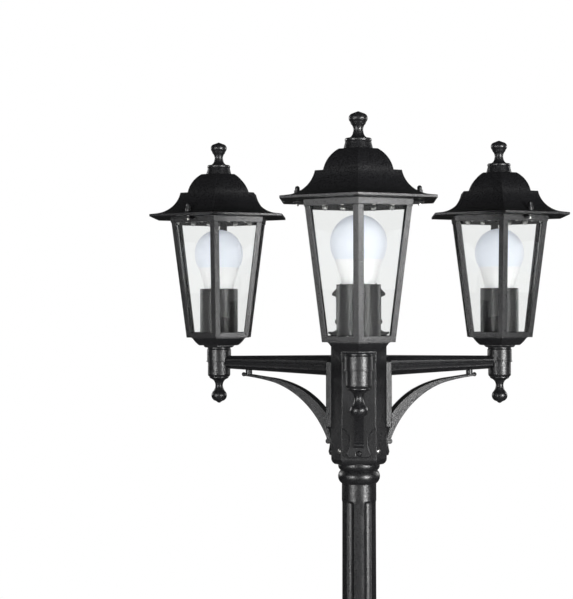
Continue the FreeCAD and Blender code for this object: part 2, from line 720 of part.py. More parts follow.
def fluted_ring(radius, distance, level):
    """A closed wire of hollowed arcs round the arm, at a distance from the post's axis."""
    edges = []
    pitch = 2 * pi / ARM_FLUTES
    for index in range(ARM_FLUTES):
        points = []
        for part, depth in ((0, 0), (0.5, ARM_FLUTE_DEPTH), (1, 0)):
            angle = (index + part) * pitch
            reach = radius - depth
            points.append(FreeCAD.Vector(reach * cos(angle), -distance, level + reach * sin(angle)))
        edges.append(Part.Arc(*points).toShape())
    return Part.Wire(edges)


def face_plate():
    """The plate that bolts to the column: arched head, straight sides, waist and flared toe."""
    shoulder = ARM_LEVEL + FACE_PLATE_SHOULDER
    narrows = ARM_LEVEL - FACE_PLATE_NARROWS
    waist = ARM_LEVEL - FACE_PLATE_WAIST_DROP
    foot = ARM_LEVEL - FACE_PLATE_FOOT_DROP
    toe = foot + FACE_PLATE_TOE_RISE
    flare = FACE_PLATE_TOE - FACE_PLATE_WAIST
    spread = FACE_PLATE_HALF - FACE_PLATE_WAIST
    side = [
        (FACE_PLATE_TOE - FACE_PLATE_TOE_SLANT, foot),
        (FACE_PLATE_TOE, toe),
        ((FACE_PLATE_WAIST + flare * 0.45, toe + (waist - toe) * 0.37), (FACE_PLATE_WAIST, waist)),
        ((FACE_PLATE_WAIST + spread * 0.25, waist + (narrows - waist) * 0.65), (FACE_PLATE_HALF, narrows)),
        (FACE_PLATE_HALF, shoulder),
    ]
    arch = Part.Arc(FreeCAD.Vector(FACE_PLATE_HALF, 0, shoulder),
                    FreeCAD.Vector(0, 0, shoulder + FACE_PLATE_ARCH),
                    FreeCAD.Vector(-FACE_PLATE_HALF, 0, shoulder)).toShape()
    sill = Part.LineSegment(FreeCAD.Vector(-side[0][0], 0, foot),
                            FreeCAD.Vector(side[0][0], 0, foot)).toShape()
    plate = face_of(chain(side) + chain(side, -1) + [arch, sill])
    plate = plate.extrude(FreeCAD.Vector(0, -FACE_PLATE_THICK, 0))
    plate.translate(FreeCAD.Vector(0, -HEAD_WIDE_FACE, 0))
    rim = [edge for edge in plate.Edges if edge.CenterOfMass.y < -PLATE_FACE + FACE_PLATE_BEVEL / 2]
    recess = facing_out(cylinder(PLATE_SCREW_ROOM, -PLATE_SCREW_SINK, PLATE_SCREW_SINK), PLATE_FACE,
                        foot + PLATE_SCREW_RISE)
    return plate.makeChamfer(FACE_PLATE_BEVEL, rim).cut(recess)


def arm():
    tube = Part.makeLoft([fluted_ring(ARM_ROOT_RADIUS, HEAD_WIDE_FACE, ARM_LEVEL - ARM_ROOT_DROP),
                          fluted_ring(ARM_TIP_RADIUS, ARM_REACH, ARM_LEVEL)], True, True)
    hub = turned([
        (0, ARM_LEVEL),
        (HUB_RADIUS + HUB_SEAM_PROUD, ARM_LEVEL),
        (HUB_RADIUS + HUB_SEAM_PROUD, ARM_LEVEL + HUB_SEAM),
        (HUB_RADIUS, ARM_LEVEL + HUB_SEAM),
        (HUB_RADIUS, HUB_TOP - HUB_EDGE),
        (HUB_RADIUS - HUB_EDGE, HUB_TOP),
        (0, HUB_TOP),
    ])
    lower_half = Part.makeBox(4 * HUB_RADIUS, 4 * HUB_RADIUS, ARM_LEVEL)
    lower_half.translate(FreeCAD.Vector(-2 * HUB_RADIUS, -ARM_REACH - 2 * HUB_RADIUS, 0))
    cup_room = on_lantern(cylinder(HUB_RADIUS + HUB_SEAM_PROUD + LIFT_GAP, 0, ARM_LEVEL))
    wire_way = facing_out(cylinder(ARM_BORE, 0, ARM_REACH), 0, ARM_LEVEL)
    nipple_way = on_lantern(cylinder(NIPPLE_RADIUS + SLIP_FIT, ARM_LEVEL - HUB_RADIUS, HUB_TOP))
    casting = tube.cut(lower_half.common(cup_room)).fuse(on_lantern(hub)).fuse(face_plate())
    return casting.cut(wire_way).cut(nipple_way).cut(screw_ways(PLATE_SCREW_SEAT)).removeSplitter()


def hub_cup():
    rim = HUB_RADIUS - HUB_CUP_INSET
    bulge = HUB_CUP_FOOT + (rim - HUB_CUP_FOOT) * 0.7
    return on_lantern(turned([
        (NIPPLE_RADIUS + SLIP_FIT, CUP_FOOT),
        (HUB_CUP_FOOT, CUP_FOOT),
        ((bulge, CUP_FOOT + HUB_CUP_ROUND * 0.4), (rim, CUP_FOOT + HUB_CUP_ROUND)),
        (rim, ARM_LEVEL),
        (NIPPLE_RADIUS + SLIP_FIT, ARM_LEVEL),
    ]))


def stem_nipples():
    """The threaded tubes that tie each lantern's base, hub and cup together."""
    foot = CUP_FOOT
    top = LANTERN_FLOOR + BASE_FLOOR_THICK
    nipple = turned([
        (NIPPLE_RADIUS * 0.7, foot),
        (NIPPLE_RADIUS, foot),
        (NIPPLE_RADIUS, top),
        (NIPPLE_RADIUS * 0.7, top),
    ])
    return around(on_lantern(nipple), ARM_TURNS.values())


def drop_finial():
    tip = CUP_FOOT - DROP_HEIGHT
    heel = CUP_FOOT - DROP_HEEL_DROP
    neck = CUP_FOOT - DROP_NECK_DROP
    swell = CUP_FOOT - DROP_SWELL_DROP
    return on_lantern(turned([
        (0, CUP_FOOT),
        (DROP_FLANGE, CUP_FOOT),
        (DROP_FLANGE, CUP_FOOT - DROP_FLANGE_EDGE),
        (DROP_FLANGE - DROP_FLANGE_EDGE, CUP_FOOT - 2 * DROP_FLANGE_EDGE),
        ((DROP_NECK * 1.35, CUP_FOOT - DROP_NECK_DROP * 0.52), (DROP_NECK, neck)),
        ((DROP_NECK * 1.15, (neck + swell) / 2), (DROP_BALL * 0.755, swell)),
        ((DROP_BALL, CUP_FOOT - DROP_BALL_DROP), (DROP_BALL * 0.6, heel)),
        ((DROP_TIP, heel - (heel - tip) * 0.4), (DROP_TIP * 0.56, heel - (heel - tip) * 0.8)),
        (0, tip),
    ]))


def brace():
    """The crescent bracket: one big arc below, a flatter back that thins out to the peg."""
    def place(offset):
        return (PLATE_FACE + offset[0], ARM_LEVEL + offset[1])

    outline = [
        place((0, BRACE_FOOT)),
        place((BRACE_HEEL[0], BRACE_FOOT)),
        place(BRACE_BELLY_FOOT),
        (place(BRACE_BELLY), place(BRACE_BELLY_TOP)),
        (place(BRACE_UNDERSIDE), place(BRACE_TIP)),
        place((BRACE_TIP[0], BRACE_BACK_TIP)),
        place(BRACE_BACK_END),
        (place(BRACE_BACK_HIGH), place(BRACE_BACK_MIDDLE)),
        (place(BRACE_BACK_LOW), place((0, BRACE_BACK_ROOT))),
    ]
    strap = face_of(chain(outline + [outline[0]])).extrude(FreeCAD.Vector(0, BRACE_WIDTH, 0))
    strap.translate(FreeCAD.Vector(0, -BRACE_WIDTH / 2, 0))
    ball = place(BRACE_KNOB)
    end_ball = Part.makeSphere(BRACE_KNOB_RADIUS, FreeCAD.Vector(ball[0], 0, ball[1]))
    heel = place(BRACE_HEEL)
    roll = Part.makeCylinder(BRACE_HEEL_ROUND, BRACE_WIDTH,
                             FreeCAD.Vector(heel[0], -BRACE_WIDTH / 2, heel[1]), FreeCAD.Vector(0, 1, 0))
    tip = place(BRACE_TIP)
    peg = cylinder(BRACE_PEG_RADIUS, tip[1], ARM_LEVEL - ARM_BORE, PLATE_FACE + BRACE_PEG_REACH)
    solid = strap.fuse(end_ball).fuse(roll).fuse(peg)
    solid.rotate(ORIGIN, UP, -90)
    return solid.cut(arm_envelope()).removeSplitter()


def arm_envelope():
    """The plain cone that just holds the fluted arm, for pieces that butt against it."""
    root = FreeCAD.Vector(0, -HEAD_WIDE_FACE, ARM_LEVEL - ARM_ROOT_DROP)
    tip = FreeCAD.Vector(0, -ARM_REACH, ARM_LEVEL)
    rings = [Part.makeCircle(radius, centre, FreeCAD.Vector(0, 1, 0))
             for radius, centre in ((ARM_ROOT_RADIUS, root), (ARM_TIP_RADIUS, tip))]
    return Part.makeLoft([Part.Wire(ring) for ring in rings], True, True)


# --- lantern, shaped about Z and then moved to its axis ------------------------------------------

def lantern_base():
    curve = LANTERN_FLOOR - BASE_CURVE_HEIGHT
    step = curve - BASE_STEP_HEIGHT
    swell = (BASE_CURVE_CORNER + BASE_TOP_CORNER) / 2 + BASE_EDGE / 2
    cup = hexagonal([
        (BASE_STEP_CORNER - BASE_STEP_SLANT, step),
        (BASE_STEP_CORNER, step + BASE_STEP_HEIGHT * 0.6),
        (BASE_STEP_CORNER, curve),
        (BASE_CURVE_CORNER, curve),
        ((swell, curve + BASE_CURVE_HEIGHT * 0.47), (BASE_TOP_CORNER - BASE_EDGE, LANTERN_FLOOR - BASE_EDGE)),
        (BASE_TOP_CORNER, LANTERN_FLOOR - BASE_EDGE),
        (BASE_TOP_CORNER, LANTERN_FLOOR),
    ])
    stem = cylinder(HUB_RADIUS - BASE_STEM_INSET, HUB_TOP, curve)
    way = cylinder(NIPPLE_RADIUS + SLIP_FIT, HUB_TOP, LANTERN_FLOOR)
    return on_lantern(cup.fuse(stem).cut(way).removeSplitter())


def cage_corner(level):
    """Corner radius of the cage's outside at a level."""
    return CAGE_FOOT_CORNER + CAGE_LEAN * (level - LANTERN_FLOOR)


def leaning_quad(levels, inset, margin):
    """The trapezoid on a cage side, drawn in from the outside by inset and in from the corners by margin."""
    points = []
    for level, side in ((levels[0], -1), (levels[0], 1), (levels[1], 1), (levels[1], -1)):
        apothem = cage_corner(level) * APOTHEM - inset
        half = cage_corner(level) / 2 - margin
        points.append(FreeCAD.Vector(apothem, side * half, level))
    return Part.Face(Part.makePolygon(points + [points[0]]))


def cage():
    wall = CAGE_WALL / APOTHEM
    lip = LANTERN_FLOOR + CAGE_LIP
    shell = hexagonal([
        (CAGE_FOOT_CORNER, LANTERN_FLOOR),
        (cage_corner(CAGE_TOP - CAGE_TOP_RAIL), CAGE_TOP - CAGE_TOP_RAIL),
        (cage_corner(CAGE_TOP - CAGE_TOP_RAIL) + CAGE_RIDGE, CAGE_TOP - CAGE_TOP_RAIL),
        (CAGE_TOP_CORNER + CAGE_RIDGE, CAGE_TOP),
    ])
    room = hexagonal([
        (cage_corner(lip) - wall, lip),
        (CAGE_TOP_CORNER - wall, CAGE_TOP),
    ])
    floor_hole = hexagonal([(CAGE_LIP_OPENING, LANTERN_FLOOR), (CAGE_LIP_OPENING, lip)])
    window = leaning_quad((LANTERN_FLOOR + CAGE_RAIL, CAGE_TOP - CAGE_TOP_RAIL), CAGE_WALL * 2, CAGE_FLANGE)
    window = window.extrude(FreeCAD.Vector(CAGE_WALL * 4, 0, 0))
    frame = shell.cut(room).cut(floor_hole).cut(around(window, range(0, 360, 60)))
    ear_reach = STUD_CIRCLE + EAR_WIDTH / 2
    for side in (-1, 1):
        start = CAGE_TOP_CORNER * APOTHEM - CAGE_WALL
        ear = Part.makeBox(ear_reach - start, EAR_WIDTH, EAR_THICK)
        ear.translate(FreeCAD.Vector(start, -EAR_WIDTH / 2, CAGE_TOP - EAR_THICK))
        ear = ear.cut(cylinder(STUD_RADIUS, CAGE_TOP - 2 * EAR_THICK, CAGE_TOP + EAR_THICK, STUD_CIRCLE))
        ear.rotate(ORIGIN, UP, 90 - side * 90)
        frame = frame.fuse(ear)
    return on_lantern(frame.removeSplitter())


def panes():
    """Six clear trapezoids that lie against the inside of the cage."""
    foot = LANTERN_FLOOR + CAGE_LIP
    top = CAGE_TOP - PANE_TOP_DROP
    lean = CAGE_LEAN * APOTHEM
    inset = (CAGE_WALL + PANE_GAP) * sqrt(1 + lean ** 2)
    margin = (CAGE_WALL + PANE_GAP + PANE_THICK) * HALF_SIDE + PANE_SIDE
    pane = leaning_quad((foot, top), inset, margin)
    pane = pane.extrude(FreeCAD.Vector(-PANE_THICK * sqrt(1 + lean ** 2), 0, 0))
    return on_lantern(around(pane, range(0, 360, 60)))


def sleeve():
    return on_lantern(turned([
        (SLEEVE_RADIUS - SLEEVE_WALL, LANTERN_FLOOR),
        (SLEEVE_RADIUS, LANTERN_FLOOR),
        (SLEEVE_RADIUS, LANTERN_FLOOR + SLEEVE_HEIGHT),
        (SLEEVE_RADIUS - SLEEVE_WALL, LANTERN_FLOOR + SLEEVE_HEIGHT),
    ]))


def socket():
    """The lampholder: a waisted body with a well for the bulb's cap and a hollow for the nipple."""
    well = CAP_SHELL_RADIUS + LIFT_GAP
    well_floor = LANTERN_FLOOR + SOCKET_FLOOR
    stem_room = NIPPLE_RADIUS + SLIP_FIT
    return on_lantern(turned([
        (stem_room, LANTERN_FLOOR),
        (SOCKET_WAIST, LANTERN_FLOOR),
        (SOCKET_WAIST, well_floor),
        (SOCKET_RADIUS, well_floor + SOCKET_FLARE),
        (SOCKET_RADIUS, SOCKET_TOP - SOCKET_EDGE),
        (SOCKET_RADIUS - SOCKET_EDGE, SOCKET_TOP),
        (well, SOCKET_TOP),
        (well, well_floor),
        (0, well_floor),
        (0, LANTERN_FLOOR + BASE_FLOOR_THICK + SLIP_FIT),
        (stem_room, LANTERN_FLOOR + BASE_FLOOR_THICK + SLIP_FIT),
    ]))


def bulb_cap():
    """The screw cap: contact button, insulator cone and shell."""
    contact = CAP_SHELL_FOOT - CONTACT_HEIGHT
    return on_lantern(turned([
        (0, contact),
        (CONTACT_RADIUS, contact),
        (CONTACT_RADIUS, contact + CONTACT_EDGE),
        (CAP_SHELL_RADIUS - SHELL_ROUND, CAP_SHELL_FOOT),
        (CAP_SHELL_RADIUS, CAP_SHELL_FOOT + SHELL_ROUND),
        (CAP_SHELL_RADIUS, BULB_HEEL),
        (0, BULB_HEEL),
    ]))


def bulb_outline(drop):
    """Rim, neck and heel of the bulb's white body, drawn in by a wall's thickness."""
    rim = BULB_EQUATOR - BULB_RIM_DROP
    neck = BULB_EQUATOR - BULB_NECK_DROP
    middle = (BULB_RIM_RADIUS * 0.42 + BULB_NECK_RADIUS * 0.58, (rim + neck) / 2)
    return [
        (BULB_HEEL_RADIUS - drop, BULB_HEEL + drop),
        (BULB_NECK_RADIUS - drop, neck),
        ((middle[0] - drop, middle[1]), (BULB_RIM_RADIUS - drop, rim)),
    ]


def bulb_housing():
    outer = turned([(0, BULB_HEEL)] + bulb_outline(0) + [(0, BULB_EQUATOR - BULB_RIM_DROP)])
    inner = turned([(0, BULB_HEEL + BULB_WALL)] + bulb_outline(BULB_WALL)
                   + [(0, BULB_EQUATOR - BULB_RIM_DROP)])
    lid = cylinder(BULB_RIM_RADIUS - BULB_WALL, BULB_EQUATOR - BULB_RIM_DROP - BULB_WALL,
                   BULB_EQUATOR - BULB_RIM_DROP)
    return on_lantern(outer.cut(inner).fuse(lid).removeSplitter())


def globe(drop):
    """The opal dome as a solid, drawn in by a wall's thickness."""
    rim = BULB_EQUATOR - BULB_RIM_DROP
    radius = BULB_RADIUS - drop
    slant = radius * cos(radians(45))
    shoulder = (BULB_RADIUS * 0.965 - drop, BULB_EQUATOR - BULB_RIM_DROP * 0.5)
    return turned([
        (0, rim),
        (BULB_RIM_RADIUS - drop, rim),
        (shoulder, (radius, BULB_EQUATOR)),
        ((slant, BULB_EQUATOR + slant), (0, BULB_EQUATOR + radius)),
    ])


def bulb_dome():
    return on_lantern(globe(0).cut(globe(BULB_WALL)))


def roof():
    foot = BRIM_FOOT
    wall = ROOF_WALL
    skirt_top = foot + SKIRT_RISE
    dome_top = skirt_top + DOME_RISE
    shoulder = skirt_top + DOME_SHOULDER_RISE
    outer = hexagonal([
        (BRIM_CORNER, foot),
        (BRIM_CORNER, foot + BRIM_EDGE),
        (SKIRT_FOOT_CORNER, foot + SKIRT_FOOT_RISE),
        ((SKIRT_BELLY_CORNER, foot + SKIRT_BELLY_RISE), (SKIRT_TOP_CORNER, skirt_top)),
        (DOME_FOOT_CORNER, skirt_top),
        ((DOME_SHOULDER_CORNER, shoulder), (DOME_TOP_CORNER, dome_top)),
    ])
    inner = hexagonal([
        (CAGE_TOP_CORNER - CAGE_FLANGE, foot),
        (CAGE_TOP_CORNER - CAGE_FLANGE, foot + SKIRT_BELLY_RISE),
        (SKIRT_TOP_CORNER - wall, skirt_top - wall),
        (DOME_FOOT_CORNER - wall, skirt_top - wall),
        ((DOME_SHOULDER_CORNER - wall, shoulder - wall), (DOME_TOP_CORNER - wall, dome_top - wall)),
    ])
    collar = turned([
        (0, dome_top - wall),
        (ROOF_COLLAR_FOOT, dome_top - wall),
        (ROOF_COLLAR_FOOT, dome_top),
        (ROOF_COLLAR_TOP, dome_top + ROOF_COLLAR_HEIGHT),
        (0, dome_top + ROOF_COLLAR_HEIGHT),
    ])
    solid = outer.cut(inner).fuse(collar)
    for side in (-1, 1):
        x = side * STUD_CIRCLE
        boss = cylinder(BOSS_RADIUS, foot, foot + BOSS_HEIGHT, x)
        hole = cylinder(STUD_RADIUS + LIFT_GAP, foot, foot + SKIRT_RISE, x)
        solid = solid.fuse(boss).cut(hole)
    return on_lantern(solid.removeSplitter())


def roof_finial():
    foot = BRIM_FOOT + SKIRT_RISE + DOME_RISE + ROOF_COLLAR_HEIGHT
    slant = ROOF_FLANGE_HEIGHT / 4
    flange = [
        (0, foot),
        (ROOF_COLLAR_TOP, foot),
        (ROOF_FLANGE, foot + slant),
        (ROOF_FLANGE, foot + ROOF_FLANGE_HEIGHT - slant),
        (ROOF_FLANGE - slant, foot + ROOF_FLANGE_HEIGHT),
    ]
    return on_lantern(turned(flange + knob(foot, ROOF_FINIAL_HEIGHT, ROOF_FINIAL_NECK, ROOF_FINIAL_BALL)))


def roof_studs():
    """The studs in the cages' ears, two to a lantern."""
    top = STUD_FOOT + STUD_LENGTH
    pair = [cylinder(STUD_RADIUS, STUD_FOOT, top, side * STUD_CIRCLE) for side in (-1, 1)]
    singles = [around(on_lantern(stud), ARM_TURNS.values()) for stud in pair]
    return Part.makeCompound([solid for group in singles for solid in group.Solids])


def cap_nuts():
    """The two acorn nuts that hold a roof down."""
    foot = BRIM_FOOT + BOSS_HEIGHT
    bore = STUD_RADIUS + LIFT_GAP
    well_top = STUD_FOOT + STUD_LENGTH + LIFT_GAP
    dome = turned([
        (0, foot),
        (CAP_NUT_DOME, foot),
        (CAP_NUT_DOME, foot + CAP_NUT_BODY),
        domed(CAP_NUT_DOME, foot + CAP_NUT_BODY, CAP_NUT_DOME),
    ])
    skirt = hexagonal([(CAP_NUT_CORNER, foot), (CAP_NUT_CORNER, foot + CAP_NUT_SKIRT)])
    nut = skirt.fuse(dome).cut(cylinder(bore, foot, well_top))
    pair = []
    for side in (-1, 1):
        single = nut.copy()
        single.translate(FreeCAD.Vector(side * STUD_CIRCLE, 0, 0))
        pair.append(on_lantern(single))
    return Part.makeCompound(pair)


# --- the nodes ---------------------------------------------------------------------------------------

SINGLE_PIECES = (pedestal_base, lower_post, post_screws, mid_coupler, upper_post, column_head, head_screws,
                 plate_screws, terminal_block, column_cap, column_finial, stem_nipples, roof_studs)
ARM_PIECES = (arm, hub_cup, drop_finial, brace, lantern_base, cage, panes, sleeve, socket, bulb_cap,
              bulb_housing, bulb_dome, roof, roof_finial, cap_nuts)

os.makedirs("parts", exist_ok=True)
for piece in SINGLE_PIECES:
    piece().exportStep("parts/" + piece.__name__ + ".step")
for piece in ARM_PIECES:
    shape = piece()
    for place, turn in ARM_TURNS.items():
        copy = shape.copy()
        copy.rotate(ORIGIN, UP, turn)
        copy.exportStep("parts/" + piece.__name__ + "_" + place + ".step")
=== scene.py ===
from math import atan, radians

import bpy
from mathutils import Euler, Matrix, Vector


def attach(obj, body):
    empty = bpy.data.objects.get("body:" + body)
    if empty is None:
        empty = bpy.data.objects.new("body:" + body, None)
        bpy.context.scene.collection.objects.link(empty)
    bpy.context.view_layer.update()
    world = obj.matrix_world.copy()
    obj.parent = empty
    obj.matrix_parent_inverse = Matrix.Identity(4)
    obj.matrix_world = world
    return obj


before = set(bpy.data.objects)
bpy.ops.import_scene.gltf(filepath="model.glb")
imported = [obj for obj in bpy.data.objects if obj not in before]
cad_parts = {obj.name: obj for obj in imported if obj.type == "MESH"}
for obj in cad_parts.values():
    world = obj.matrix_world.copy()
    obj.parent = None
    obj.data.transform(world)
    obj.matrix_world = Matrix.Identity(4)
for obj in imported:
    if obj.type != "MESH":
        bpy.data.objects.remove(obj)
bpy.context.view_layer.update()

# --- Viewpoint ---------------------------------------------------------------------------------
# The close-up was taken square to the front lantern, level with its bulb, through a short
# telephoto lens. The post stands right of the middle, so the camera is turned a little to the
# left, and it was held a touch out of level.
PHOTO_SIZE = (573, 599)  # px
LENS_LENGTH = 1591.0  # in px of the photograph
POST_COLUMN = 358.6  # px from the photograph's left edge
HORIZON_ROW = 311.1  # px from its top edge
CAMERA_ROLL = -0.002  # radians
CAMERA_REACH = 1.926  # m from the post's axis
CAMERA_HEIGHT = 1.471
SENSOR_HEIGHT = 36.0  # mm
NEAREST_SEEN = 0.05  # m

camera_data = bpy.data.cameras.new("camera")
camera_data.sensor_fit = "VERTICAL"
camera_data.sensor_height = SENSOR_HEIGHT
camera_data.lens = LENS_LENGTH / PHOTO_SIZE[1] * SENSOR_HEIGHT
camera_data.clip_start = NEAREST_SEEN
camera = bpy.data.objects.new("camera", camera_data)
camera.location = (0, -CAMERA_REACH, CAMERA_HEIGHT)
level_turn = Euler((
    radians(90) + atan((HORIZON_ROW - PHOTO_SIZE[1] / 2) / LENS_LENGTH),
    0,
    atan((POST_COLUMN - PHOTO_SIZE[0] / 2) / LENS_LENGTH),
))
roll = Matrix.Rotation(CAMERA_ROLL, 3, "Z")
camera.rotation_euler = (level_turn.to_matrix() @ roll).to_euler()
bpy.context.collection.objects.link(camera)
scene = bpy.context.scene
scene.camera = camera
scene.view_settings.view_transform = "Standard"

# --- Studio ------------------------------------------------------------------------------------
# A white sweep in a dim room: a soft box to the right of the camera as the main light, a weaker
# one to its left, a faint wide one behind it and two behind the post. The floor fades into the
# white backdrop, which is seen directly and through glass; after a bounce the room is dim.
FLOOR_HALF = 12.0  # m
FADE_START = 0.5  # m from the post's axis
FADE_END = 3.0
FLOOR_GLOW = 0.6  # share of plain white at the post's foot
FLOOR_TONE = 0.55
FLOOR_MOTTLE = 0.03
MOTTLE_SCALE = 6.0  # per metre
FLOOR_ROUGHNESS = 0.9
FLOOR_GLOSS = 0.1
FILL_LIGHT = 0.62  # what matt surfaces get from all round
ROOM_SHEEN = 0.035  # what gloss mirrors of the dim room
FLOOR_SHEEN = 0.25  # how much of the floor gloss mirrors
WHITE = (1, 1, 1, 1)
SOFT_BOXES = {
    "main": ((2.10, -2.28, 1.50), 0.8, 0.8, 140.0),
    "side": ((-2.0, -2.37, 1.45), 0.8, 0.8, 66.0),
    "front": ((0.2, -4.0, 1.5), 2.0, 1.6, 14.0),
    "rear_left": ((-2.3, 2.2, 1.9), 0.9, 0.9, 18.0),
    "rear_right": ((2.3, 2.2, 1.9), 0.9, 0.9, 18.0),
}  # place, width, height in m, power in W
SOFT_BOX_AIM = Vector((0, 0, 1.25))
ANY_BOUNCE = 0.5  # a count above this is one bounce or more


def put(tree, kind, inputs=None, **settings):
    """Adds a node; an input that is given a socket is linked, any other is set."""
    node = tree.nodes.new(kind)
    for name, value in settings.items():
        setattr(node, name, value)
    for name, value in (inputs or {}).items():
        if isinstance(value, bpy.types.NodeSocket):
            tree.links.new(value, node.inputs[name])
        else:
            node.inputs[name].default_value = value
    return node


def reckon(tree, operation, first, second):
    """A sum, product or comparison of two values."""
    return put(tree, "ShaderNodeMath", {0: first, 1: second}, operation=operation).outputs[0]


def spread(tree, value, low, high, start=0.0, end=1.0, **settings):
    """Takes a value that runs from start to end and spreads it from low to high."""
    inputs = {"Value": value, "From Min": start, "From Max": end, "To Min": low, "To Max": high}
    return put(tree, "ShaderNodeMapRange", inputs, **settings).outputs[0]


def noise(tree, place, scale, detail, roughness=0.5):
    """Even noise; scale is in features per metre, detail in layers, each twice as fine."""
    inputs = {"Vector": place, "Scale": scale, "Detail": detail, "Roughness": roughness}
    return put(tree, "ShaderNodeTexNoise", inputs).outputs["Fac"]


def fresh_material(name):
    """An empty material with its node tree and the place on the object."""
    material = bpy.data.materials.new(name)
    material.use_nodes = True
    tree = material.node_tree
    tree.nodes.clear()
    return material, tree, put(tree, "ShaderNodeTexCoord").outputs["Object"]


def unbent(tree, ray):
    """1 for rays that come straight from the camera or on through glass."""
    return reckon(tree, "MAXIMUM", ray["Is Camera Ray"], ray["Is Transmission Ray"])


world = bpy.data.worlds.new("studio")
world.use_nodes = True
tree = world.node_tree
tree.nodes.clear()
ray = put(tree, "ShaderNodeLightPath").outputs
bounces = reckon(tree, "ADD", ray["Glossy Depth"], ray["Diffuse Depth"])
unbounced = reckon(tree, "LESS_THAN", bounces, ANY_BOUNCE)
straight = reckon(tree, "MULTIPLY", unbent(tree, ray), unbounced)
mirrored = reckon(tree, "GREATER_THAN", ray["Glossy Depth"], ANY_BOUNCE)
level = spread(tree, mirrored, FILL_LIGHT, ROOM_SHEEN)
room = put(tree, "ShaderNodeBackground", {"Color": WHITE, "Strength": level}).outputs[0]
backdrop = put(tree, "ShaderNodeBackground", {"Color": WHITE, "Strength": 1.0}).outputs[0]
choice = put(tree, "ShaderNodeMixShader", {0: straight, 1: room, 2: backdrop})
put(tree, "ShaderNodeOutputWorld", {"Surface": choice.outputs[0]})
scene.world = world

for name, (spot, width, height, power) in SOFT_BOXES.items():
    lamp_data = bpy.data.lights.new("soft_box_" + name, "AREA")
    lamp_data.shape = "RECTANGLE"
    lamp_data.size = width
    lamp_data.size_y = height
    lamp_data.energy = power
    lamp = bpy.data.objects.new("soft_box_" + name, lamp_data)
    lamp.location = spot
    lamp.rotation_euler = (SOFT_BOX_AIM - Vector(spot)).to_track_quat("-Z", "Y").to_euler()
    bpy.context.collection.objects.link(lamp)


def white_sweep():
    """Painted floor that fades into the backdrop; gloss mirrors it dimmed."""
    material, tree, place = fresh_material("white_sweep")
    ray = put(tree, "ShaderNodeLightPath").outputs
    mottle = noise(tree, place, MOTTLE_SCALE, detail=3.0)
    tone = spread(tree, mottle, FLOOR_TONE, FLOOR_TONE + FLOOR_MOTTLE)
    sheen = spread(tree, ray["Is Glossy Ray"], 1.0, FLOOR_SHEEN)
    paint = put(tree, "ShaderNodeBsdfPrincipled", {
        "Base Color": reckon(tree, "MULTIPLY", tone, sheen),
        "Roughness": FLOOR_ROUGHNESS,
        "Specular IOR Level": FLOOR_GLOSS,
    }).outputs[0]
    glow = put(tree, "ShaderNodeEmission", {"Color": WHITE, "Strength": 1.0}).outputs[0]
    distance = put(tree, "ShaderNodeVectorMath", {0: place}, operation="LENGTH").outputs["Value"]
    fade = spread(tree, distance, FLOOR_GLOW, 1.0, FADE_START, FADE_END,
                  interpolation_type="SMOOTHSTEP")
    share = reckon(tree, "MULTIPLY", fade, unbent(tree, ray))
    mixed = put(tree, "ShaderNodeMixShader", {0: share, 1: paint, 2: glow}).outputs[0]
    put(tree, "ShaderNodeOutputMaterial", {"Surface": mixed})
    return material


bpy.ops.mesh.primitive_plane_add(size=2 * FLOOR_HALF, location=(0, 0, 0))
floor = bpy.context.object
floor.name = "floor"
floor.data.materials.append(white_sweep())

# --- Castings: foot, posts, head, arms, braces, cages and roofs --------------------------------
# Die-cast aluminium in black fine-texture powder coat. The coat rounds every edge a little and lies
# in a fine grain that catches the light; a painted highlight makes it a lighter grey along the edges.
COAT_DARK = (0.0035, 0.0035, 0.0040, 1)
COAT_PALE = (0.014, 0.014, 0.0155, 1)
# The edge colour below is a painted highlight, a lighter grey laid along every rounded edge.
COAT_EDGE_HIGHLIGHT = (0.030, 0.030, 0.032, 1)
GRAIN_SCALE = 950.0
GRAIN_ROUGHNESS = 0.65
SPECK_START = 0.46  # noise value at which a speck starts
SPECK_FULL = 0.70
GLOSS_SPREAD = 0.12
GRAIN_LOW = 0.3  # nearly all of the grain's noise lies between these two
GRAIN_HIGH = 0.7
RIPPLE_SCALE = 170.0
RIPPLE_STRENGTH = 0.06
RIPPLE_HEIGHT = 0.0004  # m
EDGE_ROUND = 0.0008
EDGE_SAMPLES = 6
EDGE_START = 0.97  # cosine between the flat and the rounded face
EDGE_FULL = 0.80
EDGE_HIGHLIGHT_SHARE = 0.7  # share of the edge's colour at most
LANTERNS = {"front": -90.0, "right": 30.0, "left": 150.0}  # the arm's heading from +X, degrees
POST_PIECES = ["pedestal_base", "lower_post", "mid_coupler", "upper_post", "column_head",
               "column_cap", "column_finial"]
ARM_PIECES = ["arm", "hub_cup", "drop_finial", "brace", "lantern_base", "cage", "roof",
              "roof_finial"]


def blend(tree, share, first, second):
    """A colour between two."""
    inputs = {"Factor": share, 6: first, 7: second}
    return put(tree, "ShaderNodeMix", inputs, data_type="RGBA").outputs[2]


def bump(tree, height, strength, distance, **inputs):
    """A normal tilted by a height map; distance is its full height in metres."""
    inputs = {"Height": height, "Strength": strength, "Distance": distance, **inputs}
    return put(tree, "ShaderNodeBump", inputs).outputs[0]


def finish_surface(tree, inputs):
    """Closes a material with one surface shader."""
    shader = put(tree, "ShaderNodeBsdfPrincipled", inputs)
    put(tree, "ShaderNodeOutputMaterial", {"Surface": shader.outputs[0]})


